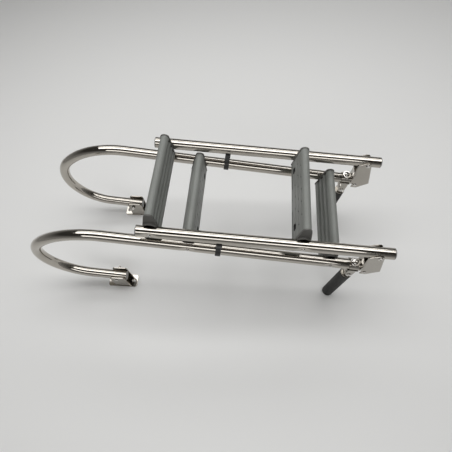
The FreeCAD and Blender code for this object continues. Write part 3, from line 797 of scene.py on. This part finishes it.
# %% Softened pieces: edges
SHARP_EDGE = math.radians(28)
EDGE_SEGMENTS = 2
EDGE_WIDTHS = {"step": 0.0003, "cap": 0.0006, "hinge_channel": 0.0006, "deck_bracket": 0.0006,
               "rail_clip": 0.0005, "standoff_clamp": 0.0006, "standoff_leg": 0.0005,
               "standoff_foot": 0.0004, "plug": 0.0004}


def level_shading(piece):
    """Let large flat faces rule the shading, so that they mirror as flat ones."""
    level = piece.modifiers.new("level", "WEIGHTED_NORMAL")
    level.keep_sharp = True
    apply_modifiers(piece)


def soften(piece, width):
    """Round every real edge by a narrow bevel."""
    bevel = piece.modifiers.new("edges", "BEVEL")
    bevel.width = width
    bevel.segments = EDGE_SEGMENTS
    bevel.limit_method = "ANGLE"
    bevel.angle_limit = SHARP_EDGE
    bevel.use_clamp_overlap = False
    bevel.miter_outer = "MITER_ARC"
    apply_modifiers(piece)
    smooth_gentle_turns(piece)
    level_shading(piece)


def kind_of(name):
    """The kind of a node that is softened, or None for the rails and fasteners drawn anew."""
    drawn_anew = ("bolt", "pin", "screws", "_rail_left", "_rail_right")
    if any(word in name for word in drawn_anew):
        return None
    return next(kind for kind in ("cap", *EDGE_WIDTHS) if kind in name)


softened = []
for name in nodes:
    kind = kind_of(name)
    if kind:
        piece = whole_copy(name)
        give_finish(piece, name)
        if kind == "step":
            # The second slot holds the painted shade of the openings.
            piece.data.materials.append(hole_painted_shade)
            print(name, "openings", darken_holes(piece))
        soften(piece, EDGE_WIDTHS[kind])
        stand_for(piece, name)
        softened.append(piece)
print("softened", len(softened), "pieces,", sum(len(piece.data.polygons) for piece in softened), "faces")

# %% [markdown]
# Screws and bolts come last. Each is turned as on a lathe: half its outline is drawn as a chain of
# points, and the chain is spun once round. A cylinder with a bevel would do for a plain head, but not
# for a domed one with a washer, or for a thread.

# %% Fasteners: turning
TURN_STEPS = 40
HEAD_POINTS = 6
HEAD_BAND = 0.35


def turned_piece(name, outline):
    """A round solid about Z from a chain of (radius, height) points that starts and ends on the axis."""
    shape = bpy.data.meshes.new(name)
    chain = [(index, index + 1) for index in range(len(outline) - 1)]
    shape.from_pydata([(radius, 0, height) for radius, height in outline], chain, [])
    piece = bpy.data.objects.new(name, shape)
    bpy.context.scene.collection.objects.link(piece)
    select_only(piece)
    bpy.ops.object.mode_set(mode="EDIT")
    bpy.ops.mesh.select_all(action="SELECT")
    bpy.ops.mesh.spin(steps=TURN_STEPS, angle=2 * math.pi, center=(0, 0, 0), axis=(0, 0, 1))
    bpy.ops.object.mode_set(mode="OBJECT")
    tidy_shell(piece)
    return piece


def domed(radius, height, foot):
    """Outline of a round head above an upright band, from its top on the axis down to its foot."""
    quarter = [math.pi / 2 * index / HEAD_POINTS for index in range(HEAD_POINTS + 1)]
    dome = [(radius * math.sin(turn), foot + height * (HEAD_BAND + (1 - HEAD_BAND) * math.cos(turn)))
            for turn in quarter]
    return dome + [(radius, foot)]


def mirrored(outline):
    """The same outline upside down, read from its foot to the axis."""
    return [(radius, -height) for radius, height in reversed(outline)]


print("turned in", TURN_STEPS, "steps")

# %% [markdown]
# Drive recesses are cut with a Boolean, which suits a straight-sided hole in a round head better than
# moving points by hand. A nut is a six-sided prism with a narrow bevel.

# %% Fasteners: recesses and nuts
HEX = 6
NUT_EDGE = 0.0004


def cut_away(piece, tool):
    """Subtract a tool from a piece and delete the tool."""
    bpy.context.view_layer.update()
    cut = piece.modifiers.new("cut", "BOOLEAN")
    cut.object = tool
    cut.operation = "DIFFERENCE"
    apply_modifiers(piece)
    bpy.data.objects.remove(tool)


def cut_hexagon(piece, radius, top, depth):
    """Cut a hexagon recess into the top of a head."""
    bpy.ops.mesh.primitive_cylinder_add(vertices=HEX, radius=radius, depth=2 * depth, location=(0, 0, top))
    cut_away(piece, bpy.context.object)


def cut_cross(piece, length, width, top, depth):
    """Cut a cross recess into the top of a head."""
    for turn in (0, math.pi / 2):
        bpy.ops.mesh.primitive_cube_add(size=1, location=(0, 0, top), rotation=(0, 0, turn))
        tool = bpy.context.object
        tool.scale = (length, width, 2 * depth)
        cut_away(piece, tool)


def hex_nut(radius, low, high):
    """A six-sided nut about Z with its corners turned down."""
    bpy.ops.mesh.primitive_cylinder_add(vertices=HEX, radius=radius, depth=high - low,
                                        location=(0, 0, (low + high) / 2))
    nut = bpy.context.object
    bpy.ops.object.transform_apply(location=True)
    bevel = nut.modifiers.new("edges", "BEVEL")
    bevel.width = NUT_EDGE
    bevel.segments = EDGE_SEGMENTS
    apply_modifiers(nut)
    return nut


print("nut edges", 1000 * NUT_EDGE, "mm")

# %% [markdown]
# One fastener of a kind is drawn upright at the origin, and the others are copies with meshes of
# their own. Each copy is carried to its place in its mesh, and its object stays at the origin.

# %% Fasteners: copying and placing
def copy_of(master, name):
    """A copy of a piece with a mesh of its own."""
    copy = master.copy()
    copy.data = master.data.copy()
    copy.name = name
    bpy.context.scene.collection.objects.link(copy)
    return copy


def joined(pieces):
    """Join pieces into the first one."""
    bpy.ops.object.select_all(action="DESELECT")
    for piece in pieces:
        piece.select_set(True)
    bpy.context.view_layer.objects.active = pieces[0]
    bpy.ops.object.join()
    return pieces[0]


def fit_fastener(piece, place, node):
    """Carry a finished fastener to its place and let it stand for its node."""
    piece.data.transform(place)
    smooth_gentle_turns(piece)
    level_shading(piece)
    give_finish(piece, node)
    stand_for(piece, node)


def pointing(place, point, side):
    """Place of a piece drawn along Z that points outwards along the ladder's Y."""
    return place @ Matrix.Translation(point) @ Matrix.Rotation(-side * math.pi / 2, 4, "X")


# %% [markdown]
# A step is held by a low-headed screw with a cross recess at each end, seated on the rail's pressing.
# The four screws of one section are one node of the model, so their copies are joined.

# %% Fasteners: step screws
SCREW_TOP = 0.0022
SCREW_OUTLINE = [(0, SCREW_TOP), (0.0026, SCREW_TOP), (0.0034, 0.00195), (0.0039, 0.0014),
                 (0.0042, 0.0006), (0.0042, 0), (0.00245, 0), (0.00245, -0.050), (0, -0.0562)]
CROSS_LENGTH = 0.0046
CROSS_WIDTH = 0.0009
CROSS_DEPTH = 0.0011
STEP_SCREWS = {"hook_step_screws": (LADDER, HOOK_SCREWS, 0.0),
               "fold_step_screws": (FOLDED, FOLD_SCREWS, HINGE_IN_LADDER.z)}


def step_screws(name, place, screws, height):
    """The four screws of one section's steps, as one piece."""
    master = turned_piece("screw_master", SCREW_OUTLINE)
    cut_cross(master, CROSS_LENGTH, CROSS_WIDTH, SCREW_TOP, CROSS_DEPTH)
    copies = []
    for side in SIDES.values():
        for screw in screws:
            copy = copy_of(master, name)
            seat = Vector((screw, side * (half_spacing + TUBE_RADIUS - PRESSING_DEPTH), height))
            copy.data.transform(pointing(place, seat, side))
            copies.append(copy)
    bpy.data.objects.remove(master)
    return joined(copies)


for node, (place, screws, height) in STEP_SCREWS.items():
    piece = step_screws(node + "_crossed", place, screws, height)
    fit_fastener(piece, Matrix.Identity(4), node)
    print(piece.name, len(piece.data.polygons), "faces")

# %% [markdown]
# Three kinds of bolt lie across the ladder at each side: the fold pivot, a smaller bolt below it, and
# the one that carries the standoff leg. All have a domed head at each end, and the outer head has a
# hexagon recess. They differ only in place and size, so one function draws them from a table.

# %% Fasteners: cross bolts
CHANNEL_HALF = 0.0151
CLAMP_HALF = 0.0115
RECESS_SHARE = 0.42
RECESS_DEPTH_SHARE = 0.55
CROSS_BOLTS = {
    "fold_pivot_bolt": {"x": 0.596, "z": 0.075, "shank": 0.0039, "head": 0.005, "height": 0.003,
                        "half": CHANNEL_HALF},
    "channel_bolt": {"x": 0.596, "z": -0.004, "shank": 0.0029, "head": 0.0045, "height": 0.0025,
                     "half": CHANNEL_HALF},
    "standoff_bolt": {"x": 0.574, "z": -0.038, "shank": 0.0039, "head": 0.006, "height": 0.003,
                      "half": CLAMP_HALF}}


def cross_bolt(name, size):
    """A bolt with a round head at each end and a hexagon recess in the outer one."""
    shank, half = size["shank"], size["half"]
    head = domed(size["head"], size["height"], half)
    bolt = turned_piece(name, head + [(shank, half), (shank, -half)] + mirrored(head))
    cut_hexagon(bolt, RECESS_SHARE * size["head"], half + size["height"],
                RECESS_DEPTH_SHARE * size["height"])
    return bolt


for kind, size in CROSS_BOLTS.items():
    master = cross_bolt(kind + "_master", size)
    for side_name, side in SIDES.items():
        bolt = copy_of(master, kind + "_turned_" + side_name)
        centre = Vector((size["x"], side * half_spacing, size["z"]))
        fit_fastener(bolt, pointing(LADDER, centre, side), kind + "_" + side_name)
    bpy.data.objects.remove(master)
    print(kind, len(bolt.data.polygons), "faces")

# %% [markdown]
# An upright bolt goes through each hook rail near the hinge. It has a broad washer under its head, to
# spread its load, and a nut below. The washer could be a piece of its own, but it never moves against
# the head, so both come from one outline.

# %% Fasteners: cap bolts
CAP_BOLT_X = 0.569
CAP_TOP = 0.0151
CAP_FOOT = -0.0159
CAP_HEAD_RADIUS = 0.007
CAP_HEAD_HEIGHT = 0.0034
CAP_RECESS_RADIUS = 0.0026
CAP_RECESS_DEPTH = 0.0022
CAP_SHANK = 0.0039
CAP_NUT_RADIUS = 0.0065
CAP_NUT_HEIGHT = 0.005
WASHER_RADIUS = 0.0105
WASHER_HEIGHT = 0.0016
WASHER_RIM = 0.0074
TURNED_EDGE = 0.0005


def cap_bolt(name):
    """Upright bolt with a broad washer and a round head, and a nut below."""
    seat = CAP_TOP + WASHER_HEIGHT
    nut_foot = CAP_FOOT - CAP_NUT_HEIGHT
    head = domed(CAP_HEAD_RADIUS, CAP_HEAD_HEIGHT, seat)
    washer = [(WASHER_RIM, seat), (WASHER_RADIUS - TURNED_EDGE, seat),
              (WASHER_RADIUS, seat - TURNED_EDGE), (WASHER_RADIUS, CAP_TOP)]
    shank = [(CAP_SHANK, CAP_TOP), (CAP_SHANK, nut_foot), (CAP_SHANK - TURNED_EDGE, nut_foot - TURNED_EDGE),
             (0, nut_foot - TURNED_EDGE)]
    bolt = turned_piece(name, head + washer + shank)
    cut_hexagon(bolt, CAP_RECESS_RADIUS, seat + CAP_HEAD_HEIGHT, CAP_RECESS_DEPTH)
    return joined([bolt, hex_nut(CAP_NUT_RADIUS, nut_foot, CAP_FOOT)])


master = cap_bolt("cap_bolt_master")
for side_name, side in SIDES.items():
    bolt = copy_of(master, "cap_bolt_turned_" + side_name)
    centre = Vector((CAP_BOLT_X, side * half_spacing, 0))
    fit_fastener(bolt, LADDER @ Matrix.Translation(centre), "channel_cap_bolt_" + side_name)
bpy.data.objects.remove(master)
print("cap bolt", len(bolt.data.polygons), "faces")

# %% [markdown]
# The pin of a deck bracket has a domed head on the outer ear. Beyond the inner ear it has a locking
# nut, whose round collar holds the nylon ring, and a short end of thread. The thread's ridges are
# plain rings, because a true helix would look the same at this size and cost many more faces.

# %% Fasteners: bracket pins
EAR_FACE = 0.0165
PIN_RADIUS = 0.0038
PIN_HEAD_RADIUS = 0.0048
PIN_HEAD_HEIGHT = 0.003
PIN_END = 0.0099
PIN_END_RADIUS = 0.0022
THREAD_RADIUS = 0.0030
THREAD_DEPTH = 0.0005
THREAD_STEP = 0.0004
THREAD_POINTS = 12
PIN_NUT_RADIUS = 0.0055
PIN_NUT_HEIGHT = 0.0037
COLLAR_START = 0.003
COLLAR_END = 0.005
COLLAR_RADIUS = 0.0046
COLLAR_DROP = 0.0006


def beyond_ear(radius, distance):
    """A point of an outline, so far beyond the inner ear."""
    return radius, -EAR_FACE - distance


def bracket_pin(name):
    """Pin with a round head, and beyond the other ear a locking nut and a threaded end."""
    head = domed(PIN_HEAD_RADIUS, PIN_HEAD_HEIGHT, EAR_FACE)
    shank = [(PIN_RADIUS, EAR_FACE), (PIN_RADIUS, -EAR_FACE)]
    threads = [beyond_ear(THREAD_RADIUS - THREAD_DEPTH * (index % 2), COLLAR_END + THREAD_STEP * index)
               for index in range(THREAD_POINTS)]
    end = [beyond_ear(PIN_END_RADIUS, PIN_END), beyond_ear(0, PIN_END)]
    pin = turned_piece(name, head + shank + threads + end)
    collar = turned_piece("collar", [beyond_ear(0, COLLAR_START), beyond_ear(COLLAR_RADIUS, COLLAR_START),
                                     beyond_ear(COLLAR_RADIUS, COLLAR_END - COLLAR_DROP),
                                     beyond_ear(COLLAR_RADIUS - TURNED_EDGE, COLLAR_END),
                                     beyond_ear(0, COLLAR_END)])
    return joined([pin, collar, hex_nut(PIN_NUT_RADIUS, -EAR_FACE - PIN_NUT_HEIGHT, -EAR_FACE)])


master = bracket_pin("bracket_pin_master")
for side_name, side in SIDES.items():
    pin = copy_of(master, "bracket_pin_turned_" + side_name)
    centre = Vector((PIN_IN_LADDER.x, side * half_spacing, PIN_IN_LADDER.z))
    fit_fastener(pin, pointing(LADDER, centre, side), "bracket_pin_" + side_name)
bpy.data.objects.remove(master)
print("bracket pin", len(pin.data.polygons), "faces")
